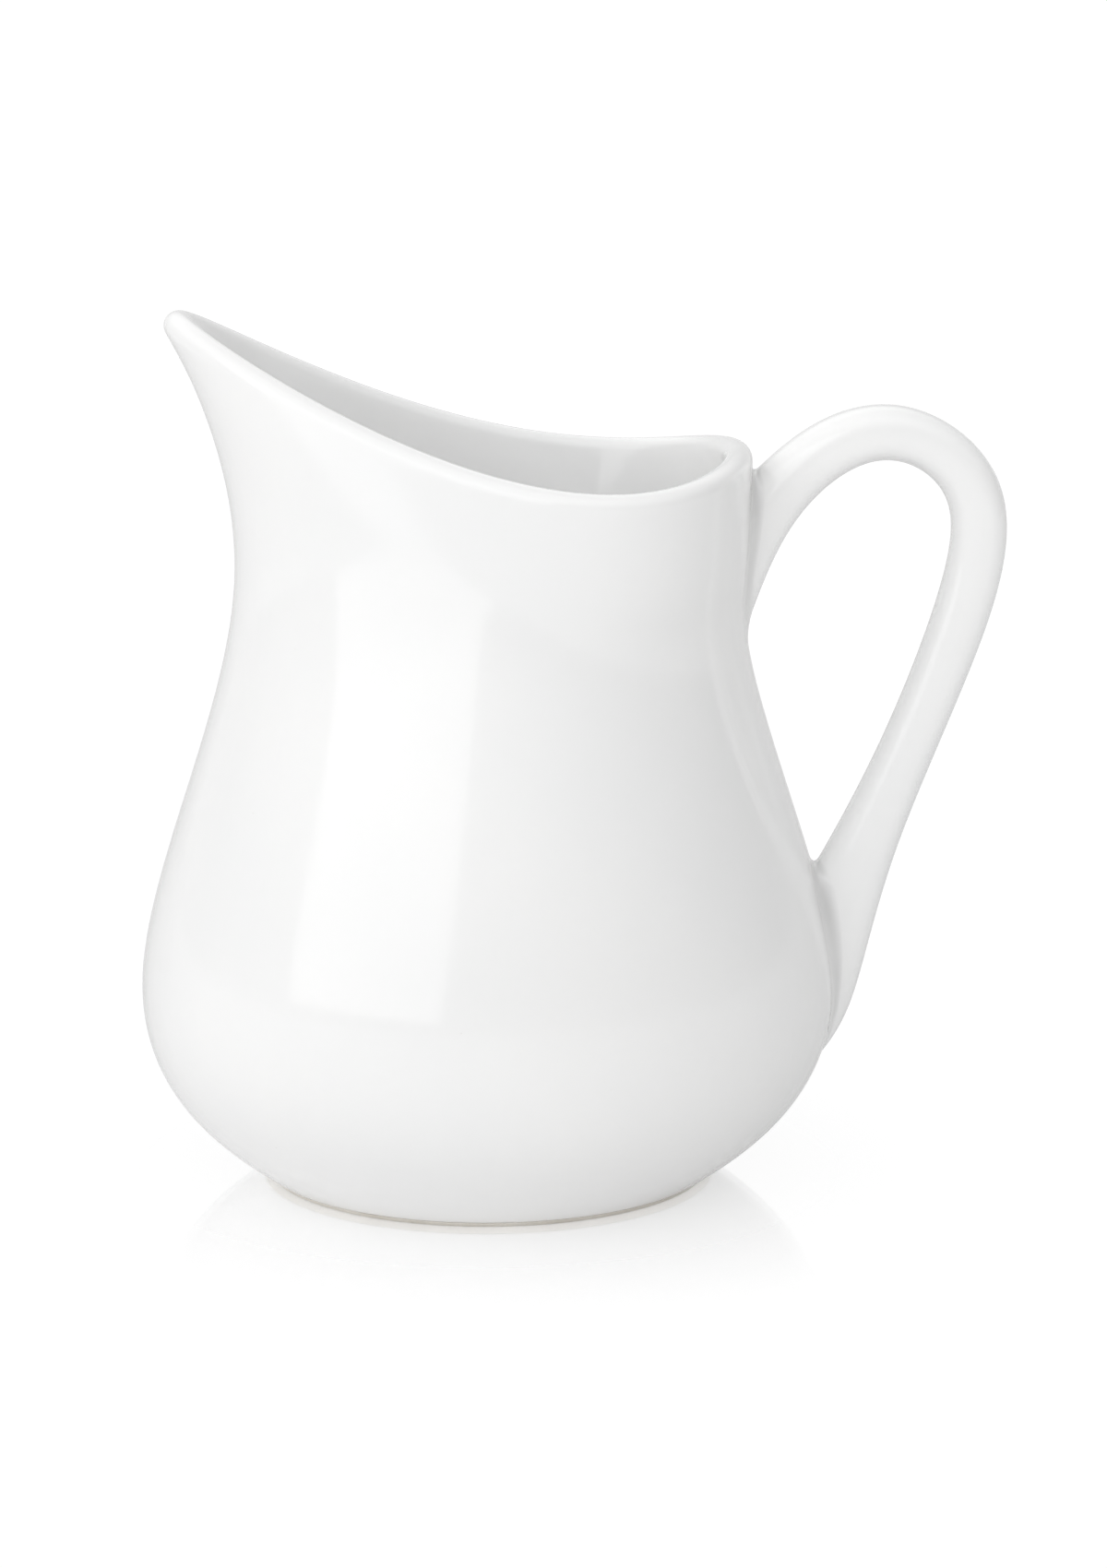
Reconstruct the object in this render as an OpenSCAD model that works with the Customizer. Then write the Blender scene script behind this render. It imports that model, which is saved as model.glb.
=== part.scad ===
// Pouring jug in glazed ceramic: a bellied vessel with a pulled spout, and a strap handle luted to its back.
// +Z is up, the spout points along -X and the handle along +X. The origin is the centre of the foot, on the
// table.

/* [Vessel] */
// Outer radius of the wall's middle surface at the foot
foot_r = 33; // [31:0.5:35]
// Radius that pulls the belly out
belly_r = 53.2; // [51:0.2:55]
// Height of that pull
belly_h = 28.5; // [27:0.5:30]
// Radius that draws the shoulder in
shoulder_r = 43; // [41.5:0.5:44.5]
// Height of that pull
shoulder_h = 59; // [57:0.5:61]
// Thickness of the wall, and of its round lip
wall = 4.2; // [3.6:0.1:4.6]
// Height of the floor inside
floor_h = 5.4; // [5:0.1:6.5]

/* [Mouth] */
// Distance from the axis to the lip's middle at the tip of the spout
spout_reach = 45.6; // [43:0.2:48]
// Height of the lip's middle at the tip of the spout
spout_h = 128.7; // [125:0.1:132]
// Distance from the axis to the lip's middle at the back
rim_back = 37.4; // [36.5:0.1:38]
// Height of the lip's middle at the back
rim_back_h = 108.9; // [108.5:0.1:110]
// Half the width of the mouth, at the lip's middle
rim_side = 32.2; // [31:0.1:33]
// Height of the lip's middle at the sides
rim_side_h = 108.1; // [107:0.1:109]
// How far the widest place of the mouth sits behind the middle
rim_egg = 2.7; // [1.5:0.1:3.5]
// How much the mouth narrows towards the spout and widens towards the back
rim_pinch = 6.3; // [4.5:0.1:6.5]

/* [Handle] */
// Width of the strap, across the jug
strap_w = 9.6; // [8:0.1:11]
// Squareness of the strap's section: 2 is an ellipse, more is boxier
strap_square = 2.7; // [2.2:0.1:3.4]
// Outermost pull of the handle behind the axis
handle_reach = 78.6; // [76:0.2:81]
// Highest pull of the handle
handle_top = 118.8; // [117:0.1:120]
// Width of the slip fillet at the upper join
upper_fillet = 1.8; // [1.2:0.1:2]
// Width of the slip fillet at the lower join
lower_fillet = 2.4; // [1.5:0.1:3]

/* [Foot] */
// Height of the unglazed foot rim
foot_h = 0.8; // [0.6:0.1:1]
// Inner radius of the foot rim
foot_inner_r = 28.5; // [27:0.5:29.5]
// Height of the base's hollow underside above the table
hollow_h = 2; // [1.4:0.1:2.2]

/* [Hidden] */

glaze = [0.95, 0.95, 0.94];
bisque = [0.86, 0.83, 0.78];
half_wall = wall / 2;

// Facets: columns round the vessel, rows per span of its outline, rows over the lip, rows over the floor, and the
// lines and rows of the handle, its caps and its fillets
columns = 72;
rows_per_span = 4;
lip_rows = 6;
floor_rows = 4;
lines = 32;
handle_rows = 44;
cap_rows = 5;
fillet_rows = 4;

// A ring pulls the wall's middle surface. It lists, for the front, the back and the sides, a distance from
// the axis and a height, then how egg-shaped, pinched, squared and swept the ring is.
function round_ring(r, h) = [r, h, r, h, r, h, 0, 0, 0, 0];
neck_ring = [32.9, 91.2, 35.5, 82.9, 33, 84.8, 0.9, 0.4, 0.4, 0];
throat_ring = [39.4, 117.6, 37.3, 93.5, 32.5, 94, 2.6, 2.6, -0.4, 0];
rim_ring = [spout_reach, spout_h, rim_back, rim_back_h, rim_side, rim_side_h, rim_egg, rim_pinch, -0.5, 0];
rings = [
  round_ring(foot_r, 2.5),
  round_ring(45.7, 11.5),
  round_ring(belly_r, belly_h),
  round_ring(shoulder_r, shoulder_h),
  neck_ring,
  throat_ring,
  rim_ring
];
last_ring = len(rings) - 1;

// Harmonics of a ring: x, y and z as sums of sines and cosines of the turn, which starts at the handle
function half_length(g) = (g[0] + g[2]) / 2;
function shift(g) = (g[2] - g[0]) / 2 + g[6];
function height(g) = ((g[1] + g[3]) / 2 + g[5]) / 2;
function dip(g) = ((g[1] + g[3]) / 2 - g[5]) / 2;
function rise(g) = (g[1] - g[3]) / 2 - g[9];
function ring_point(g, turn) = [
  shift(g) + half_length(g) * cos(turn) - g[6] * cos(2 * turn),
  (g[4] - g[8]) * sin(turn) + g[7] * sin(2 * turn) - g[8] * sin(3 * turn),
  height(g) - rise(g) * cos(turn) + dip(g) * cos(2 * turn) - g[9] * cos(3 * turn)
];
function ring_slope(g, turn) = [
  -half_length(g) * sin(turn) + 2 * g[6] * sin(2 * turn),
  (g[4] - g[8]) * cos(turn) + 2 * g[7] * cos(2 * turn) - 3 * g[8] * cos(3 * turn),
  rise(g) * sin(turn) - 2 * dip(g) * sin(2 * turn) + 3 * g[9] * sin(3 * turn)
];

// Cubic B-spline through a list of pulls, straight past both of its ends; t counts the pulls
function unit(v) = v / norm(v);
function pull(p, i) = i < 0 ? 2 * p[0] - p[1] : i >= len(p) ? 2 * p[len(p) - 1] - p[len(p) - 2] : p[i];
function span(p, t) = max(0, min(len(p) - 2, floor(t)));
function spline_in(p, i, u) =
  (pow(1 - u, 3) * pull(p, i - 1) + (3 * pow(u, 3) - 6 * u * u + 4) * pull(p, i)
  + (1 + 3 * u + 3 * u * u - 3 * pow(u, 3)) * pull(p, i + 1) + pow(u, 3) * pull(p, i + 2)) / 6;
function slope_in(p, i, u) =
  (-pow(1 - u, 2) * pull(p, i - 1) + (3 * u * u - 4 * u) * pull(p, i)
  + (1 + 2 * u - 3 * u * u) * pull(p, i + 1) + u * u * pull(p, i + 2)) / 2;
function spline(p, t) =
  t < 0 ? p[0] + t * (p[1] - p[0])
  : t > len(p) - 1 ? p[len(p) - 1] + (t - len(p) + 1) * (p[len(p) - 1] - p[len(p) - 2])
  : spline_in(p, span(p, t), t - span(p, t));
function spline_slope(p, t) = slope_in(p, span(p, t), t - span(p, t));

// The wall: its middle surface, and its outer (side 1) and inner (side -1) surfaces half a wall away
function pulls(turn) = [for (g = rings) ring_point(g, turn)];
function turn_pulls(turn) = [for (g = rings) ring_slope(g, turn)];
function wall_normal(turn, t) = unit(cross(spline(turn_pulls(turn), t), spline_slope(pulls(turn), t)));
function wall_point(turn, t, side) = spline(pulls(turn), t) + side * half_wall * wall_normal(turn, t);
function lip_point(turn, swing) =
  let (out = wall_normal(turn, last_ring), up = cross(out, unit(ring_slope(rim_ring, turn))))
  ring_point(rim_ring, turn) + half_wall * (cos(swing) * out + sin(swing) * up);

// The floor: a quadratic curve that leaves the inner wall along its slope and runs out flat
floor_t = 0.5;
wall_foot = wall_point(0, floor_t, -1);
wall_lean = spline_slope(pulls(0), floor_t);
bend_r = wall_foot.x - wall_lean.x * (wall_foot.z - floor_h) / wall_lean.z;
flat_r = 0.75 * bend_r;
function floor_point(s) = [
  pow(1 - s, 2) * wall_foot.x + 2 * s * (1 - s) * bend_r + s * s * flat_r,
  pow(1 - s, 2) * wall_foot.z + (1 - pow(1 - s, 2)) * floor_h
];
function turns() = [for (c = [0 : columns - 1]) c * 360 / columns];
function around(r, z) = [for (turn = turns()) [r * cos(turn), r * sin(turn), z]];

// Stacks equal loops of points into one closed solid, with a centre point at each end
function stack_faces(count, loops) = concat(
  [for (k = [0 : loops - 2], j = [0 : count - 1], half = [0, 1])
    let (a = k * count + j, b = k * count + (j + 1) % count)
    half == 0 ? [a, a + count, b + count] : [a, b + count, b]],
  [for (j = [0 : count - 1]) [count * loops, j, (j + 1) % count]],
  [for (j = [0 : count - 1])
    let (a = (loops - 1) * count)
    [count * loops + 1, a + (j + 1) % count, a + j]]
);
module stack(loops, start, end) {
  count = len(loops[0]);
  points = concat([for (loop = loops, p = loop) p], [start, end]);
  polyhedron(points = points, faces = stack_faces(count, len(loops)), convexity = 8);
}

// Stacks loops that close on themselves, such as the sections round a fillet
module closed_tube(loops) {
  count = len(loops[0]);
  total = len(loops);
  points = [for (loop = loops, p = loop) p];
  faces = [for (k = [0 : total - 1], j = [0 : count - 1], half = [0, 1])
    let (a = k * count + j, b = k * count + (j + 1) % count)
    let (c = ((k + 1) % total) * count + j, d = ((k + 1) % total) * count + (j + 1) % count)
    half == 0 ? [a, c, d] : [a, d, b]];
  polyhedron(points = points, faces = faces, convexity = 8);
}

// The handle: an outer and an inner edge curve in the jug's mirror plane, each pulled by the same stations
handle_outer = [
  [38.4, 105.4],
  [48.3, 115.1],
  [62.9, handle_top],
  [handle_reach, 107.7],
  [77.8, 87.6],
  [59.6, 48.1],
  [55.8, 22.9],
  [47.3, 14.3]
];
handle_inner = [
  [39.2, 84.6],
  [44.8, 100.5],
  [58.1, 111.5],
  [70.1, 104.7],
  [69.4, 91.9],
  [58.4, 62.1],
  [43.1, 35.8],
  [42, 33.8]
];
last_station = len(handle_outer) - 1;
// How far past its end stations a handle line is followed into the vessel, how far back from them it is sure
// to be outside, and how many times that stretch is halved
reach_in = 0.5;
reach_out = 1.4;
halvings = 16;

function rounded(c) = sign(c) * pow(abs(c), 2 / strap_square);
function handle_point(t, swing) =
  let (outer = spline(handle_outer, t), inner = spline(handle_inner, t))
  let (middle = (outer + inner) / 2, deep = rounded(cos(swing)) * (outer - inner) / 2)
  [middle.x + deep.x, rounded(sin(swing)) * strap_w / 2, middle.y + deep.y];

// Where the outer wall lies at a given y and z near the handle: the turn and the height along the outline are
// corrected in steps until they fit
function wall_fit(y, z, turn, t, steps) =
  let (p = wall_point(turn, t, 1))
  steps == 0 ? p
  : let (turned = (y - p.y) / p.x * 180 / PI, climbed = (z - p.z) / spline_slope(pulls(turn), t).z)
    wall_fit(y, z, turn + turned, t + climbed, steps - 1);
function wall_x(y, z) = wall_fit(y, z, 0, z / 20, 8).x;

// Where a handle line meets the vessel, halving the stretch between a place inside it and a place outside it
function crossing(swing, inside, outside, steps) =
  let (t = (inside + outside) / 2, p = handle_point(t, swing))
  steps == 0 ? t
  : p.x < wall_x(p.y, p.z) ? crossing(swing, t, outside, steps - 1)
  : crossing(swing, inside, t, steps - 1);
swings = [for (j = [0 : lines - 1]) j * 360 / lines];
upper_ends = [for (swing = swings) crossing(swing, -reach_in, reach_out, halvings)];
lower_ends = [for (swing = swings)
  crossing(swing, last_station + reach_in, last_station - reach_out, halvings)];

// Points of a root's outline on the wall, and the same outline shrunk towards its middle
function on_wall(p) = [wall_x(p.y, p.z), p.y, p.z];
function middle_of(loop) = on_wall([for (i = [0 : 2]) loop[0][i] / 2 + loop[lines / 2][i] / 2]);
function shrunk(loop, keep) =
  let (middle = middle_of(loop))
  [for (p = loop) on_wall(middle + keep * (p - middle))];
// The direction across the wall that leads away from a root's outline. The upper outline runs down past +Y
// (way -1) and the lower one runs up past it (way 1).
function outward(loop, j, way) =
  let (along = loop[(j + 1) % lines] - loop[(j + lines - 1) % lines])
  way * unit([0, along.z, -along.y]);

upper_outline = [for (j = [0 : lines - 1]) handle_point(upper_ends[j], swings[j])];
lower_outline = [for (j = [0 : lines - 1]) handle_point(lower_ends[j], swings[j])];
function handle_loop(s) = [for (j = [0 : lines - 1])
  handle_point(upper_ends[j] + s * (lower_ends[j] - upper_ends[j]), swings[j])];

// How much a fillet fills its corner: 0 is deeply hollow, 0.25 is flat
fillet_fullness = 0.1;
// One section of a fillet: the corner, a foot on the wall, a hollow curve, and a foot on the handle
function fillet_section(corner, on_vessel, on_strap) =
  let (pull_in = corner + fillet_fullness * (on_vessel + on_strap - 2 * corner))
  concat(
    [corner],
    [for (i = [0 : fillet_rows])
      let (s = i / fillet_rows)
      pow(1 - s, 2) * on_vessel + 2 * s * (1 - s) * pull_in + s * s * on_strap]
  );
// The step along a handle line that covers one millimetre
function step_per_mm(t, swing) = 0.05 / norm(handle_point(t + 0.05, swing) - handle_point(t, swing));

module body() {
  outside = [for (i = [1 : last_ring * rows_per_span])
    [for (turn = turns()) wall_point(turn, i / rows_per_span, 1)]];
  lip = [for (i = [1 : lip_rows - 1])
    [for (turn = turns()) lip_point(turn, i * 180 / lip_rows)]];
  inside = [for (i = [last_ring * rows_per_span : -1 : floor_t * rows_per_span])
    [for (turn = turns()) wall_point(turn, i / rows_per_span, -1)]];
  floor = [for (i = [1 : floor_rows])
    let (p = floor_point(i / floor_rows))
    around(p[0], p[1])];
  base_r = wall_point(0, 0, 1).x;
  underside = [around(foot_inner_r - 2, hollow_h), around(foot_inner_r, foot_h), around(base_r, foot_h)];
  color(glaze)
    stack(concat(underside, outside, lip, inside, floor), [0, 0, hollow_h], [0, 0, floor_h]);
}

module handle() {
  lower_cap = [for (i = [1 : cap_rows - 1]) shrunk(lower_outline, i / cap_rows)];
  strap = [for (k = [handle_rows : -1 : 0]) handle_loop(k / handle_rows)];
  upper_cap = [for (i = [cap_rows - 1 : -1 : 1]) shrunk(upper_outline, i / cap_rows)];
  color(glaze)
    stack(concat(lower_cap, strap, upper_cap), middle_of(lower_outline), middle_of(upper_outline));
}

module upper_handle_join() {
  color(glaze)
    closed_tube([for (j = [0 : lines - 1])
      let (corner = upper_outline[j], t = upper_ends[j])
      fillet_section(corner, on_wall(corner + upper_fillet * outward(upper_outline, j, -1)),
        handle_point(t + upper_fillet * step_per_mm(t, swings[j]), swings[j]))]);
}

module lower_handle_join() {
  color(glaze)
    closed_tube([for (j = [lines - 1 : -1 : 0])
      let (corner = lower_outline[j], t = lower_ends[j])
      fillet_section(corner, on_wall(corner + lower_fillet * outward(lower_outline, j, 1)),
        handle_point(t - lower_fillet * step_per_mm(t, swings[j]), swings[j]))]);
}

module foot_ring() {
  base_r = wall_point(0, 0, 1).x;
  color(bisque)
    rotate_extrude($fn = 96)
      polygon([
        [foot_inner_r, foot_h],
        [foot_inner_r, foot_h / 2],
        [foot_inner_r + 0.6, 0],
        [base_r - 0.9, 0],
        [base_r, foot_h]
      ]);
}

body();
handle();
upper_handle_join();
lower_handle_join();
foot_ring();
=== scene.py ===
import math

import bpy
import numpy as np
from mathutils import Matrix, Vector


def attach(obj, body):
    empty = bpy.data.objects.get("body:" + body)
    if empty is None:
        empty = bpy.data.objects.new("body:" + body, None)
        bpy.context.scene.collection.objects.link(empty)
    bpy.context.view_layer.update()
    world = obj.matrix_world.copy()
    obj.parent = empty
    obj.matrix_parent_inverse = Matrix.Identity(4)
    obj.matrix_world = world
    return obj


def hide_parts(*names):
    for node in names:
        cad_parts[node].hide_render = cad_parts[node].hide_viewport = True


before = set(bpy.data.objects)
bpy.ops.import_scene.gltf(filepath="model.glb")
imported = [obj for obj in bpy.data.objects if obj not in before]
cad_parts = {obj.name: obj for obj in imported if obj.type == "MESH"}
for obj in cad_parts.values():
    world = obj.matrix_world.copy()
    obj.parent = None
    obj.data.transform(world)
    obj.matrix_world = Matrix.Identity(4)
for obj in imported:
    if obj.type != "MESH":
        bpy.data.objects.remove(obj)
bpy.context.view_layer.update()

MM = 0.001
BODY = "root"


# ---------------------------------------------------------------- the jug's outline

def ring(front, back, side, egg=0.0, pinch=0.0, square=0.0):
    """Pulls of the wall's middle surface on one ring, as cosine and sine weights of 0 to 3 turns, each of
    them x, y, z. front, back and side are (distance from the axis, height)."""
    high_mean = (front[1] + back[1]) / 2
    length = (front[0] + back[0]) / 2
    cosines = np.array([
        [(back[0] - front[0]) / 2 + egg, 0, (high_mean + side[1]) / 2],
        [length, 0, -(front[1] - back[1]) / 2],
        [-egg, 0, (high_mean - side[1]) / 2],
        [0, 0, 0],
    ])
    sines = np.array([
        [0, 0, 0],
        [0, side[0] - square, 0],
        [0, pinch, 0],
        [0, -square, 0],
    ])
    return np.stack([cosines, sines])


def round_ring(radius, height):
    return ring((radius, height), (radius, height), (radius, height))


HALF_WALL = 2.1
FOOT_RADIUS, FOOT_HEIGHT = 33.0, 0.8
FOOT_INNER_RADIUS = 28.5
HOLLOW_HEIGHT = 2.0
FLOOR_HEIGHT = 5.4
BELLY_RADIUS, BELLY_HEIGHT = 53.2, 28.5
SHOULDER_RADIUS, SHOULDER_HEIGHT = 43.0, 59.0
# The lip's middle: (distance from the axis, height) at the tip of the spout, at the back and at the sides
SPOUT_TIP, RIM_BACK, RIM_SIDE = (45.6, 128.7), (37.4, 108.9), (32.2, 108.1)

# The rings from foot to lip, which are those of the CAD model. Their values come from least-squares fits
# made outside this script, rounded and in part adjusted.
RINGS = np.array([
    round_ring(FOOT_RADIUS, 2.5),
    round_ring(45.7, 11.5),
    round_ring(BELLY_RADIUS, BELLY_HEIGHT),
    round_ring(SHOULDER_RADIUS, SHOULDER_HEIGHT),
    ring((32.9, 91.2), (35.5, 82.9), (33.0, 84.8), egg=0.9, pinch=0.4, square=0.4),
    ring((39.4, 117.6), (37.3, 93.5), (32.5, 94.0), egg=2.6, pinch=2.6, square=-0.4),
    ring(SPOUT_TIP, RIM_BACK, RIM_SIDE, egg=2.7, pinch=6.3, square=-0.5),
])
LAST_RING = len(RINGS) - 1


def spline(pulls, t, slope=False):
    """Points or slopes at t on the cubic B-spline through pulls, straight past both of its ends."""
    pulls = np.asarray(pulls, float)
    t = np.asarray(t, float)
    padded = np.concatenate([2 * pulls[:1] - pulls[1:2], pulls, 2 * pulls[-1:] - pulls[-2:-1]])
    held = np.clip(t, 0, len(pulls) - 1)
    first = np.minimum(np.floor(held), len(pulls) - 2).astype(int)
    u = held - first
    slopes = (-(1 - u) ** 2 / 2, (3 * u * u - 4 * u) / 2, (1 + 2 * u - 3 * u * u) / 2, u * u / 2)
    values = (
        (1 - u) ** 3 / 6,
        (3 * u ** 3 - 6 * u * u + 4) / 6,
        (1 + 3 * u + 3 * u * u - 3 * u ** 3) / 6,
        u ** 3 / 6,
    )

    def blend(weights):
        shaped = [w.reshape(w.shape + (1,) * (pulls.ndim - 1)) for w in weights]
        return sum(w * padded[first + k] for k, w in enumerate(shaped))

    if slope:
        return blend(slopes)
    beyond = (t - held).reshape(t.shape + (1,) * (pulls.ndim - 1))
    return blend(values) + beyond * blend(slopes)


def harmonics(weights, turn, slope=False):
    """x, y, z at a turn, or their change with the turn."""
    k = np.arange(4)
    angle = np.asarray(turn, float)[..., None] * k
    first, second = np.cos(angle), np.sin(angle)
    if slope:
        first, second = -k * second, k * first
    blend = "...k,...kc->...c"
    cosines, sines = weights[..., 0, :, :], weights[..., 1, :, :]
    return np.einsum(blend, first, cosines) + np.einsum(blend, second, sines)


def unit(v):
    return v / np.linalg.norm(v, axis=-1, keepdims=True)


def wall(turn, t, side):
    """Points of the outer (side 1) or inner (side -1) surface, and the wall's outward normals there."""
    turn, t = np.broadcast_arrays(np.asarray(turn, float), np.asarray(t, float))
    weights = spline(RINGS, t)
    along = harmonics(weights, turn, slope=True)
    up = harmonics(spline(RINGS, t, slope=True), turn)
    normal = unit(np.cross(along, up))
    return harmonics(weights, turn) + side * HALF_WALL * normal, normal


def lip(turn, swing):
    """Points round the lip: swing 0 is its outer edge and a half turn is its inner edge."""
    middle = harmonics(RINGS[-1], turn)
    outward = wall(turn, np.full(np.shape(turn), float(LAST_RING)), 0)[1]
    up = np.cross(outward, unit(harmonics(RINGS[-1], turn, slope=True)))
    return middle + HALF_WALL * (math.cos(swing) * outward + math.sin(swing) * up)


def wall_at(y, z, steps=10):
    """The outer wall's points and normals at given y and z on the handle's side, found by Newton steps."""
    usual_ring_spacing = 20
    turn = np.zeros_like(y)
    t = z / usual_ring_spacing
    for _ in range(steps):
        point, normal = wall(turn, t, 1)
        climb = harmonics(spline(RINGS, t, slope=True), turn)[..., 2]
        turn = turn + (y - point[..., 1]) / point[..., 0]
        t = t + (z - point[..., 2]) / climb
    return wall(turn, t, 1)


# ---------------------------------------------------------------- the handle's outline

STRAP_WIDTH, STRAP_SQUARENESS = 9.6, 2.7
# Pulls of the strap's outer and inner edges, (x, z) in the jug's mirror plane, from the upper root to the
# lower. All but the last inner one come from a least-squares fit made outside this script and rounded.
OUTER_EDGE = [
    (38.4, 105.4), (48.3, 115.1), (62.9, 118.8), (78.6, 107.7),
    (77.8, 87.6), (59.6, 48.1), (55.8, 22.9), (47.3, 14.3),
]
INNER_EDGE = [
    (39.2, 84.6), (44.8, 100.5), (58.1, 111.5), (70.1, 104.7),
    (69.4, 91.9), (58.4, 62.1), (43.1, 35.8), (42.0, 33.8),
]
LAST_STATION = len(OUTER_EDGE) - 1


def rounded(c):
    return np.sign(c) * np.abs(c) ** (2 / STRAP_SQUARENESS)


def strap(t, swing):
    """Points of the handle's surface: swing 0 is its outer edge and a half turn is its inner edge."""
    outer, inner = spline(OUTER_EDGE, t), spline(INNER_EDGE, t)
    offset = rounded(np.cos(swing))[..., None] * (outer - inner) / 2
    across = rounded(np.sin(swing)) * STRAP_WIDTH / 2
    flat = (outer + inner) / 2 + offset
    return np.stack([flat[..., 0], np.broadcast_to(across, flat.shape[:-1]), flat[..., 1]], -1)


LINES = 128
# Half a step of turn keeps the lines off the four places where the section's formula has no slope
SWINGS = (np.arange(LINES) + 0.5) * 2 * math.pi / LINES


def crossings(inside, outside, halvings=22):
    """Where each handle line meets the vessel, between a station inside it and one outside it."""
    a = np.full(LINES, float(inside))
    b = np.full(LINES, float(outside))
    for _ in range(halvings):
        t = (a + b) / 2
        p = strap(t, SWINGS)
        within = p[:, 0] < wall_at(p[:, 1], p[:, 2])[0][:, 0]
        a = np.where(within, t, a)
        b = np.where(within, b, t)
    return (a + b) / 2


# Stations past an end of the strap's edges, which lie inside the vessel, and short of it, which lie outside
PAST_END, SHORT_OF_END = 0.5, 1.4
UPPER_ENDS = crossings(-PAST_END, SHORT_OF_END)
LOWER_ENDS = crossings(LAST_STATION + PAST_END, LAST_STATION - SHORT_OF_END)


# ---------------------------------------------------------------- meshes

SHARP_ANGLE = math.radians(38)


def new_piece(name, points, faces, node):
    """A smooth closed mesh, from points in millimetres, that stands for a CAD node."""
    mesh = bpy.data.meshes.new(name)
    mesh.from_pydata((np.asarray(points) * MM).tolist(), [], faces)
    mesh.validate()
    mesh.shade_smooth()
    mesh.set_sharp_from_angle(angle=SHARP_ANGLE)
    piece = bpy.data.objects.new(name, mesh)
    bpy.context.scene.collection.objects.link(piece)
    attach(piece, BODY)
    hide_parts(node)
    return piece


def band(rows, count, wrap=False):
    """Faces between neighbouring loops of points. wrap also joins the last loop to the first."""
    faces = []
    for k in range(rows if wrap else rows - 1):
        low, high = k * count, ((k + 1) % rows) * count
        for j in range(count):
            nxt = (j + 1) % count
            faces.append((low + j, low + nxt, high + nxt, high + j))
    return faces


def capped(loops, start, end):
    """Points and faces of loops stacked into a solid, with a centre point at each end."""
    count, rows = len(loops[0]), len(loops)
    points = np.concatenate([*loops, [start], [end]])
    faces = band(rows, count)
    first, last, base = rows * count, rows * count + 1, (rows - 1) * count
    for j in range(count):
        nxt = (j + 1) % count
        faces.append((first, nxt, j))
        faces.append((last, base + j, base + nxt))
    return points, faces


def volume(points, faces):
    """The volume inside a closed mesh of quads, negative if its faces are wound inwards."""
    a, b, c, d = (points[[face[k] for face in faces]] for k in range(4))
    return float(np.sum(a * (np.cross(b, c) + np.cross(c, d)))) / 6


def circle(radius, height, turns):
    return np.stack([radius * np.cos(turns), radius * np.sin(turns), np.full_like(turns, height)], -1)


def eased(profile, reach, steps=4):
    """A profile with its inner corners rounded off, starting reach from each corner or nearer."""
    most_of_side = 0.45
    profile = [np.array(p, float) for p in profile]
    out = [profile[0]]
    for before, corner, after in zip(profile, profile[1:], profile[2:]):
        back, ahead = before - corner, after - corner
        start = corner + back * min(most_of_side, reach / np.linalg.norm(back))
        stop = corner + ahead * min(most_of_side, reach / np.linalg.norm(ahead))
        for s in np.linspace(0, 1, steps + 1):
            out.append((1 - s) ** 2 * start + 2 * s * (1 - s) * corner + s * s * stop)
    return [*out, profile[-1]]


def underside_profile(first_t):
    """The hollow's ceiling and edge, the seat of the foot rim, and the rounded edge of the glaze above it,
    up to the outer wall at first_t."""
    base_radius = wall(np.zeros(1), np.zeros(1), 1)[0][0, 0]
    low = wall(np.zeros(1), np.full(1, first_t), 1)[0][0]
    # How far each corner lies in from the foot rim's inner radius, and the gap from its outer one
    ceiling_edge, side_edge, seat_edge, gap = 8, 1.6, 0.4, 0.02
    # How far the seat's edge is lifted, and how far out from the rim's inner radius the seat is flat
    lift, flat_from = 0.1, 1.2
    return eased(
        [
            (FOOT_INNER_RADIUS - ceiling_edge, HOLLOW_HEIGHT),
            (FOOT_INNER_RADIUS - side_edge, HOLLOW_HEIGHT),
            (FOOT_INNER_RADIUS - seat_edge, FOOT_HEIGHT + lift),
            (FOOT_INNER_RADIUS + flat_from, FOOT_HEIGHT),
            (base_radius - gap, FOOT_HEIGHT),
            (low[0], low[2]),
        ],
        reach=0.35,
    )


def floor_loops(turns, start_t, rows):
    """The floor inside. It leaves the wall at start_t along the wall's slope and runs out flat."""
    edge = wall(np.zeros(1), np.full(1, start_t), -1)[0][0]
    lean = harmonics(spline(RINGS, np.full(1, start_t), slope=True), np.zeros(1))[0]
    bend = edge[0] - lean[0] * (edge[2] - FLOOR_HEIGHT) / lean[2]
    flat = 0.75 * bend
    loops = []
    for i in range(1, rows + 1):
        s = i / rows
        radius = (1 - s) ** 2 * edge[0] + 2 * s * (1 - s) * bend + s * s * flat
        height = (1 - s) ** 2 * edge[2] + (1 - (1 - s) ** 2) * FLOOR_HEIGHT
        loops.append(circle(radius, height, turns))
    return [*loops, circle(flat / 2, FLOOR_HEIGHT, turns)]


def make_body():
    columns, rows_per_span, lip_rows, floor_rows = 288, 14, 20, 14
    floor_t = 0.5
    turns = np.arange(columns) * 2 * math.pi / columns
    top = LAST_RING * rows_per_span

    def shell(row, side):
        return wall(turns, np.full(columns, row / rows_per_span), side)[0]

    loops = [circle(r, h, turns) for r, h in underside_profile(1 / rows_per_span)[:-1]]
    loops += [shell(row, 1) for row in range(1, top + 1)]
    loops += [lip(turns, math.pi * i / lip_rows) for i in range(1, lip_rows)]
    loops += [shell(row, -1) for row in range(top, int(floor_t * rows_per_span) - 1, -1)]
    loops += floor_loops(turns, floor_t, floor_rows)
    points, faces = capped(loops, (0, 0, HOLLOW_HEIGHT), (0, 0, FLOOR_HEIGHT))
    return new_piece("glazed_body", points, faces, "body")


def step_per_mm(t):
    """The change of station along each handle line that covers one millimetre."""
    small = 0.02
    return small / np.linalg.norm(strap(t + small, SWINGS) - strap(t, SWINGS), axis=-1)


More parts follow.
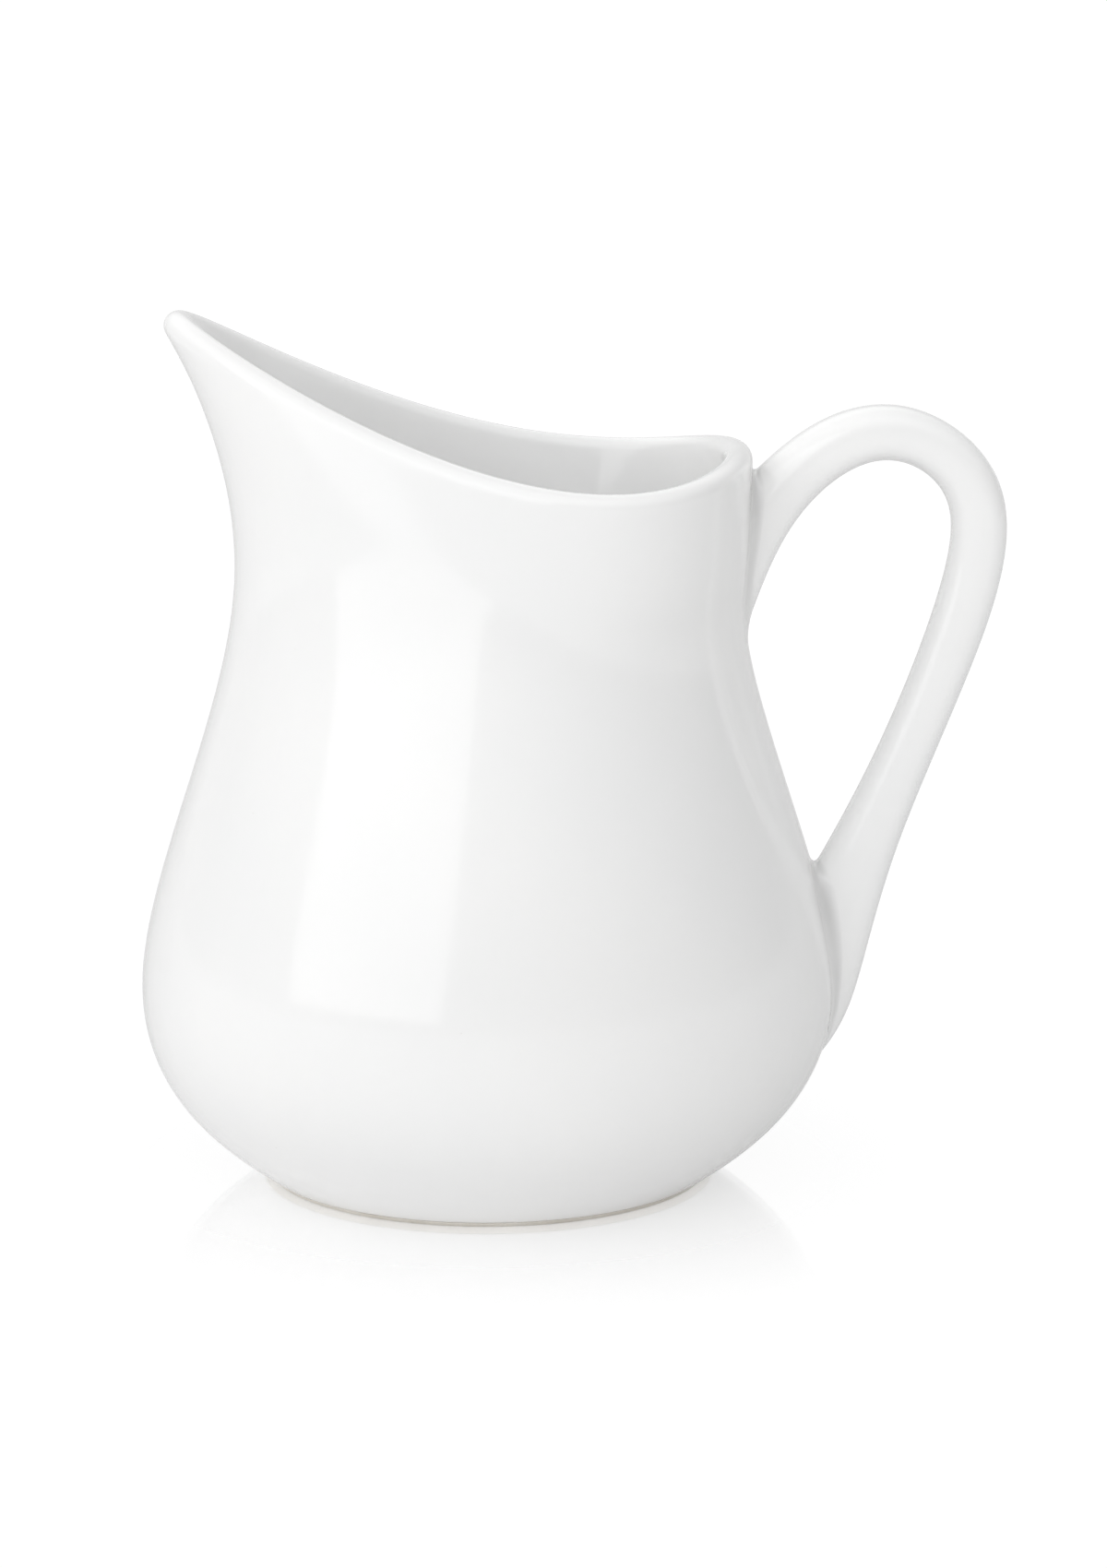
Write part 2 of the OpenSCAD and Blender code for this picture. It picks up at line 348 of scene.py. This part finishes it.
def make_handle():
    """The strap. Its ends sit a little way inside the vessel's wall."""
    rows, sunk = 260, 1.2
    start = UPPER_ENDS - sunk * step_per_mm(UPPER_ENDS)
    stop = LOWER_ENDS + sunk * step_per_mm(LOWER_ENDS)
    loops = [strap(start + s * (stop - start), SWINGS) for s in np.linspace(0, 1, rows)]
    points, faces = capped(loops, loops[0].mean(0), loops[-1].mean(0))
    return new_piece("glazed_handle", points, faces, "handle")


def strap_directions(tips, on_strap, away):
    """At the fillet's edge on the strap: the way along the strap from the root, and the outward normal."""
    small = 1e-3
    line = away * (strap(tips + small, SWINGS) - strap(tips - small, SWINGS))
    around = np.roll(on_strap, -1, 0) - np.roll(on_strap, 1, 0)
    normal = unit(np.cross(around, line)) * away
    normal *= np.sign(np.sum(normal * (on_strap - on_strap.mean(0)), -1, keepdims=True))
    return unit(line), normal


def fillet_loops(corner, on_wall, wall_normal, on_strap, along_strap, rows):
    """Loops from the wall to the strap. Each end of a section's curve leaves along the surface it meets."""
    fullness = 0.62
    to_corner = corner - on_wall
    to_corner -= np.sum(to_corner * wall_normal, -1, keepdims=True) * wall_normal
    pull_wall = on_wall + fullness * to_corner
    back = along_strap * np.sum((corner - on_strap) * along_strap, -1, keepdims=True)
    pull_strap = on_strap + fullness * back
    loops = []
    for s in np.linspace(0, 1, rows):
        loops.append((1 - s) ** 3 * on_wall + 3 * s * (1 - s) ** 2 * pull_wall
                     + 3 * s * s * (1 - s) * pull_strap + s ** 3 * on_strap)
    return loops


def fillet_normals(loops, wall_normal, strap_normal):
    """Normals of the fillet's skin, which at its two edges are those of the wall and of the strap."""
    surface = np.array(loops)
    across = np.gradient(surface, axis=0)
    around = np.roll(surface, -1, 1) - np.roll(surface, 1, 1)
    normals = unit(np.cross(around, across))
    normals *= np.sign(np.sum(normals[len(loops) // 2] * (wall_normal + strap_normal), -1))[None, :, None]
    normals[0], normals[-1] = wall_normal, strap_normal
    return normals


def make_join(name, node, ends, away, widths):
    """A fillet round one root of the handle, tangent to the wall and to the strap. away is 1 if stations
    grow away from the root and -1 if not. widths are its reach at the strap's outer edge, sides and inner
    edge."""
    rows = 16
    outer_width, side_width, inner_width = widths
    facing = np.cos(SWINGS)
    edge_width = np.where(facing > 0, outer_width, inner_width)
    width = side_width + (edge_width - side_width) * facing ** 2

    corner = strap(ends, SWINGS)
    along = np.roll(corner, -1, 0) - np.roll(corner, 1, 0)
    out = away * unit(np.stack([np.zeros(LINES), -along[:, 2], along[:, 1]], -1))
    reached = corner + width[:, None] * out
    on_wall, wall_normal = wall_at(reached[:, 1], reached[:, 2])
    tips = ends + away * width * step_per_mm(ends)
    on_strap = strap(tips, SWINGS)
    along_strap, strap_normal = strap_directions(tips, on_strap, away)
    loops = fillet_loops(corner, on_wall, wall_normal, on_strap, along_strap, rows)
    normals = fillet_normals(loops, wall_normal, strap_normal)

    # How strongly the painted shade in the groove darkens each point: most in the middle of the fillet and
    # on the join's upper side
    side_shade, change = 0.7, 0.3
    strongest_shade = side_shade + change * away * facing
    groove_shade = [4 * s * (1 - s) * strongest_shade for s in np.linspace(0, 1, rows)] + [np.zeros(LINES)]

    # The last loop is hidden inside the wall and the strap
    in_wall, in_strap = 0.5, 0.4
    loops.append(corner - in_wall * wall_normal - in_strap * strap_normal)
    points = np.concatenate(loops)
    faces = band(rows + 1, LINES, wrap=True)
    if volume(points, faces) < 0:
        faces = [f[::-1] for f in faces]
    piece = new_piece(name, points, faces, node)
    every = np.concatenate([normals.reshape(-1, 3), unit(-wall_normal - strap_normal)])
    piece.data.normals_split_custom_set_from_vertices(every.tolist())
    # Painted shade: the weights by which the glaze darkens each point in the groove, stored on the points
    groove_shade_attribute = piece.data.attributes.new("groove_shade", "FLOAT", "POINT")
    groove_shade_attribute.data.foreach_set("value", np.concatenate(groove_shade))
    return piece


def make_foot():
    """The unglazed foot rim, with its edges rubbed round."""
    columns = 240
    turns = np.arange(columns) * 2 * math.pi / columns
    base_radius = wall(np.zeros(1), np.zeros(1), 1)[0][0, 0]
    middle_radius = (FOOT_INNER_RADIUS + base_radius) / 2
    inner_wear, outer_wear = 0.6, 0.9
    profile = eased(
        [
            (middle_radius, FOOT_HEIGHT),
            (FOOT_INNER_RADIUS, FOOT_HEIGHT),
            (FOOT_INNER_RADIUS, FOOT_HEIGHT / 2),
            (FOOT_INNER_RADIUS + inner_wear, 0),
            (base_radius - outer_wear, 0),
            (base_radius, FOOT_HEIGHT),
            (middle_radius + 0.1, FOOT_HEIGHT),
        ],
        reach=0.15,
    )
    loops = [circle(r, h, turns) for r, h in profile]
    points = np.concatenate(loops)
    faces = band(len(loops), columns, wrap=True)
    return new_piece("bisque_foot", points, faces, "foot_ring")


# ---------------------------------------------------------------- materials

class Nodes:
    """A short way to write a node tree."""

    def __init__(self, tree):
        self.tree = tree
        tree.nodes.clear()

    def add(self, kind, **values):
        node = self.tree.nodes.new(kind)
        for key, value in values.items():
            if hasattr(node, key):
                setattr(node, key, value)
            else:
                self.put(node, key.replace("_", " "), value)
        return node

    def put(self, node, socket, value):
        target = next(s for s in node.inputs if s.name.lower() == socket.lower() and s.enabled)
        if isinstance(value, bpy.types.NodeSocket):
            self.tree.links.new(value, target)
        else:
            target.default_value = value

    def math(self, operation, a, b=0.0):
        node = self.tree.nodes.new("ShaderNodeMath")
        node.operation = operation
        for target, value in zip(node.inputs, (a, b)):
            if isinstance(value, bpy.types.NodeSocket):
                self.tree.links.new(value, target)
            else:
                target.default_value = value
        return node.outputs[0]

    def remap(self, value, low, high, to_low, to_high, smooth=False):
        node = self.tree.nodes.new("ShaderNodeMapRange")
        node.interpolation_type = "SMOOTHSTEP" if smooth else "LINEAR"
        self.tree.links.new(value, node.inputs[0])
        for target, number in zip(node.inputs[1:5], (low, high, to_low, to_high)):
            target.default_value = number
        return node.outputs[0]

    def noise(self, where, scale, detail=2.0, roughness=0.5):
        node = self.add("ShaderNodeTexNoise", Scale=scale, Detail=detail, Roughness=roughness)
        self.tree.links.new(where, node.inputs["Vector"])
        return node.outputs[0]

    def mix(self, factor, a, b):
        node = self.tree.nodes.new("ShaderNodeMix")
        node.data_type = "RGBA"
        for index, value in ((0, factor), (6, a), (7, b)):
            if isinstance(value, bpy.types.NodeSocket):
                self.tree.links.new(value, node.inputs[index])
            else:
                node.inputs[index].default_value = value
        return node.outputs[2]

    def shaders(self, kind, a, b, factor=None):
        """Adds two shaders, or mixes from a to b by a factor."""
        node = self.tree.nodes.new(kind)
        self.tree.links.new(a.outputs[0], node.inputs[-2])
        self.tree.links.new(b.outputs[0], node.inputs[-1])
        if factor is not None:
            self.tree.links.new(factor, node.inputs[0])
        return node

    def bump(self, height, strength, distance, normal=None):
        node = self.add("ShaderNodeBump", Strength=strength, Distance=distance, Height=height)
        if normal is not None:
            self.tree.links.new(normal, node.inputs["Normal"])
        return node.outputs[0]


def new_material(name):
    material = bpy.data.materials.new(name)
    material.use_nodes = True
    return material, Nodes(material.node_tree)


def make_glaze():
    """White glaze, nearly even in tone, with faint pooling, a few pinholes, a slightly wavy skin and
    painted shade in the grooves at the handle's roots.
    """
    material, n = new_material("white_glaze")
    where = n.add("ShaderNodeTexCoord").outputs["Object"]
    pooling = n.noise(where, 26.0, detail=3.0)
    mottle = n.noise(where, 620.0, detail=4.0, roughness=0.6)
    thick, thin = (0.925, 0.927, 0.926, 1), (0.945, 0.944, 0.94, 1)
    # The second of these is the grey of the painted shade in the grooves at the handle's roots
    speck, painted_groove_shade, iron = (0.91, 0.91, 0.905, 1), (0.50, 0.50, 0.495, 1), (0.52, 0.47, 0.40, 1)
    tone = n.mix(n.remap(pooling, 0.3, 0.7, 0.0, 1.0, smooth=True), thick, thin)
    tone = n.mix(n.remap(mottle, 0.35, 0.65, 0.0, 0.12), tone, speck)

    # Painted shade: the glaze is darkened towards grey in the grooves where the handle is luted on, broken
    # up a little by noise
    groove_shade = n.add("ShaderNodeAttribute", attribute_name="groove_shade").outputs["Fac"]
    streaks = n.remap(n.noise(where, 160.0, detail=3.0), 0.3, 0.7, 0.75, 1.0)
    tone = n.mix(n.math("MULTIPLY", n.math("MULTIPLY", groove_shade, streaks), 0.7), tone, painted_groove_shade)

    # Pinholes: the rare cells of a fine pattern that hold a dark dot
    cells = n.add("ShaderNodeTexVoronoi", Scale=330.0, Randomness=1.0)
    n.tree.links.new(where, cells.inputs["Vector"])
    dot = n.remap(cells.outputs["Distance"], 0.03, 0.07, 1.0, 0.0, smooth=True)
    draw = n.add("ShaderNodeSeparateColor", Color=cells.outputs["Color"]).outputs[0]
    pinhole = n.math("MULTIPLY", dot, n.math("GREATER_THAN", draw, 0.965))
    tone = n.mix(n.math("MULTIPLY", pinhole, 0.25), tone, iron)

    # The skin: long waves from the hand of the maker, and the glaze's fine orange peel
    waves = n.noise(where, 42.0, detail=1.0)
    peel = n.noise(where, 340.0, detail=2.0)
    skin = n.bump(peel, 0.10, 0.00002, n.bump(waves, 0.25, 0.0004))
    skin = n.bump(n.math("MULTIPLY", pinhole, -1.0), 0.3, 0.0001, skin)
    rough = n.remap(n.noise(where, 75.0, detail=4.0), 0.3, 0.7, 0.10, 0.15)

    shader = n.add("ShaderNodeBsdfPrincipled", IOR=1.52, Normal=skin, Roughness=rough)
    n.put(shader, "Base Color", tone)
    n.put(shader, "Coat Weight", 0.6)
    n.put(shader, "Coat Roughness", 0.035)
    n.put(shader, "Coat IOR", 1.5)
    n.put(shader, "Coat Normal", skin)
    n.add("ShaderNodeOutputMaterial", Surface=shader.outputs[0])
    return material


def make_bisque():
    """Unglazed fired clay: dry, warm, grainy, and rubbed darker where it stands on tables."""
    material, n = new_material("bisque")
    where = n.add("ShaderNodeTexCoord").outputs["Object"]
    grain = n.noise(where, 2600.0, detail=5.0, roughness=0.7)
    blotch = n.noise(where, 120.0, detail=3.0)
    warm, pale = (0.70, 0.665, 0.61, 1), (0.78, 0.75, 0.70, 1)
    dark_grain, worn = (0.60, 0.565, 0.51, 1), (0.50, 0.48, 0.45, 1)
    tone = n.mix(n.remap(blotch, 0.35, 0.65, 0.0, 1.0, smooth=True), warm, pale)
    tone = n.mix(n.remap(grain, 0.35, 0.7, 0.0, 0.45), tone, dark_grain)
    height = n.add("ShaderNodeSeparateXYZ", Vector=where).outputs[2]
    rubbed = n.remap(height, 0.0, 0.00025, 0.5, 0.0, smooth=True)
    streaks = n.noise(where, 900.0, detail=2.0)
    tone = n.mix(n.math("MULTIPLY", rubbed, n.remap(streaks, 0.4, 0.6, 0.3, 1.0)), tone, worn)
    skin = n.bump(grain, 0.6, 0.00008)
    rough = n.remap(grain, 0.3, 0.7, 0.78, 0.95)
    shader = n.add("ShaderNodeBsdfPrincipled", IOR=1.45, Normal=skin, Roughness=rough)
    n.put(shader, "Base Color", tone)
    n.add("ShaderNodeOutputMaterial", Surface=shader.outputs[0])
    return material


def make_table_finish():
    """Pale table. It looks evenly lit, as over a light table, and mirrors only what stands close to it, but
    the light that it throws back at the jug is that of pale board that also glows a little."""
    material, n = new_material("pale_table")
    where = n.add("ShaderNodeTexCoord").outputs["Object"]
    flat = n.add("ShaderNodeSeparateXYZ", Vector=where)
    square = n.math("ADD", n.math("POWER", flat.outputs[0], 2.0), n.math("POWER", flat.outputs[1], 2.0))
    mirror_reach = 0.100
    nearness = n.remap(n.math("SQRT", square), FOOT_RADIUS * MM, mirror_reach, 1.0, 0.0)
    gloss = n.math("MULTIPLY", n.math("POWER", nearness, 2.0), 0.55)
    glow = n.add("ShaderNodeEmission", Strength=0.94)
    matt = n.add("ShaderNodeBsdfDiffuse", Color=(0.12, 0.12, 0.12, 1))
    mirror = n.add("ShaderNodeBsdfGlossy", Color=(1, 1, 1, 1), Roughness=0.04)
    board = n.add("ShaderNodeBsdfDiffuse", Color=(0.75, 0.75, 0.75, 1))
    lit_board = n.shaders("ShaderNodeAddShader", board, n.add("ShaderNodeEmission", Strength=0.12))
    pale = n.shaders("ShaderNodeAddShader", glow, matt)
    polished = n.shaders("ShaderNodeMixShader", pale, mirror, gloss)
    seen = n.add("ShaderNodeLightPath").outputs["Is Camera Ray"]
    looks = n.shaders("ShaderNodeMixShader", lit_board, polished, seen)
    n.add("ShaderNodeOutputMaterial", Surface=looks.outputs[0])
    return material


# ---------------------------------------------------------------- studio

def make_table():
    half = 6.0
    mesh = bpy.data.meshes.new("table_top")
    corners = [(-half, -half, 0), (half, -half, 0), (half, half, 0), (-half, half, 0)]
    mesh.from_pydata(corners, [], [(0, 1, 2, 3)])
    table = bpy.data.objects.new("table_top", mesh)
    bpy.context.scene.collection.objects.link(table)
    mesh.materials.append(make_table_finish())


def make_softbox(name, bearing, tilt, distance, width, height, radiance, feather):
    """A rectangular softbox aimed at the jug, seen only as a shine in the glaze. bearing is its angle from
    the front, positive to the right. feather is the part of its size over which each edge fades."""
    light = bpy.data.lights.new(name, "AREA")
    light.shape = "RECTANGLE"
    light.size, light.size_y = width, height
    light.energy = radiance * math.pi * width * height
    light.use_nodes = True
    n = Nodes(light.node_tree)
    place = n.add("ShaderNodeSeparateXYZ", Vector=n.add("ShaderNodeNewGeometry").outputs["Parametric"])
    edge = None
    for axis in (0, 1):
        from_middle = n.math("ABSOLUTE", n.math("SUBTRACT", place.outputs[axis], 0.5))
        fade = n.remap(from_middle, 0.5 - feather, 0.5, 1.0, 0.0, smooth=True)
        edge = fade if edge is None else n.math("MULTIPLY", edge, fade)
    glow = n.add("ShaderNodeEmission", Strength=edge)
    n.add("ShaderNodeOutputLight", Surface=glow.outputs[0])
    lamp = bpy.data.objects.new(name, light)
    bpy.context.scene.collection.objects.link(lamp)
    middle = Vector((0, 0, 0.06))
    a, e = math.radians(bearing), math.radians(tilt)
    away = Vector((math.sin(a) * math.cos(e), -math.cos(a) * math.cos(e), math.sin(e)))
    lamp.location = middle + distance * away
    lamp.rotation_euler = away.to_track_quat("Z", "Y").to_euler()
    lamp.visible_camera = lamp.visible_diffuse = False


def make_world():
    """A white studio. The background is plain white. Big soft lights stand in front and on the left, with
    dimmer ones behind, above and on the right. The glaze mirrors a brighter ceiling and back wall."""
    world = bpy.data.worlds.new("studio")
    bpy.context.scene.world = world
    world.use_nodes = True
    n = Nodes(world.node_tree)
    direction = n.add("ShaderNodeSeparateXYZ", Vector=n.add("ShaderNodeTexCoord").outputs["Generated"])
    x, y, z = direction.outputs[0], direction.outputs[1], direction.outputs[2]

    def total(parts):
        brightness = 0.0
        for along, start, full, strength in parts:
            brightness = n.math("ADD", n.remap(along, start, full, 0.0, strength, smooth=True), brightness)
        return brightness

    # Each light grows along one direction, from nothing at start to its strength at full. The strengths
    # come from a least-squares fit made outside this script and rounded.
    lit = total([
        (y, -0.20, -0.95, 1.98),
        (x, -0.40, -0.95, 1.72),
        (x, 0.40, 0.95, 0.25),
        (y, -0.30, 0.70, 0.85),
        (z, 0.15, 1.00, 0.14),
    ])
    shine = n.math("ADD", total([(z, 0.15, 1.00, 1.95), (y, 0.30, 0.95, 0.48)]), 0.56)
    room = n.add("ShaderNodeBackground", Strength=lit)
    mirrored = n.add("ShaderNodeBackground", Strength=shine)
    plain = n.add("ShaderNodeBackground", Color=(1, 1, 1, 1), Strength=1.05)
    path = n.add("ShaderNodeLightPath").outputs
    unseen = n.shaders("ShaderNodeMixShader", room, mirrored, path["Is Glossy Ray"])
    seen = n.shaders("ShaderNodeMixShader", unseen, plain, path["Is Camera Ray"])
    n.add("ShaderNodeOutputWorld", Surface=seen.outputs[0])


def make_camera():
    """Looks at the jug near its middle. Its aim and elevation come from a fit made outside this script."""
    aim = Vector((9.94, 0, 59.45)) * MM
    distance, elevation = 0.690, math.radians(11.14)
    full_frame_long_side = 36
    data = bpy.data.cameras.new("camera")
    data.lens = 105
    data.sensor_fit = "VERTICAL"
    data.sensor_width = data.sensor_height = full_frame_long_side
    data.clip_start, data.clip_end = 0.01, 50
    camera = bpy.data.objects.new("camera", data)
    bpy.context.scene.collection.objects.link(camera)
    back = Vector((0, -math.cos(elevation), math.sin(elevation)))
    camera.location = aim + distance * back
    camera.rotation_euler = back.to_track_quat("Z", "Y").to_euler()
    bpy.context.scene.camera = camera


glaze, bisque = make_glaze(), make_bisque()
for piece in (
    make_body(),
    make_handle(),
    make_join("upper_join", "upper_handle_join", UPPER_ENDS, 1, widths=(1.6, 3.6, 3.0)),
    make_join("lower_join", "lower_handle_join", LOWER_ENDS, -1, widths=(1.4, 4.0, 2.0)),
):
    piece.data.materials.append(glaze)
make_foot().data.materials.append(bisque)

make_table()
make_softbox(
    "softbox", bearing=-40, tilt=21.3, distance=1.1, width=1.17, height=0.82, radiance=0.85, feather=0.06
)
make_world()
make_camera()
bpy.context.scene.view_settings.view_transform = "Standard"
bpy.context.scene.cycles.max_bounces = bpy.context.scene.cycles.diffuse_bounces = 16
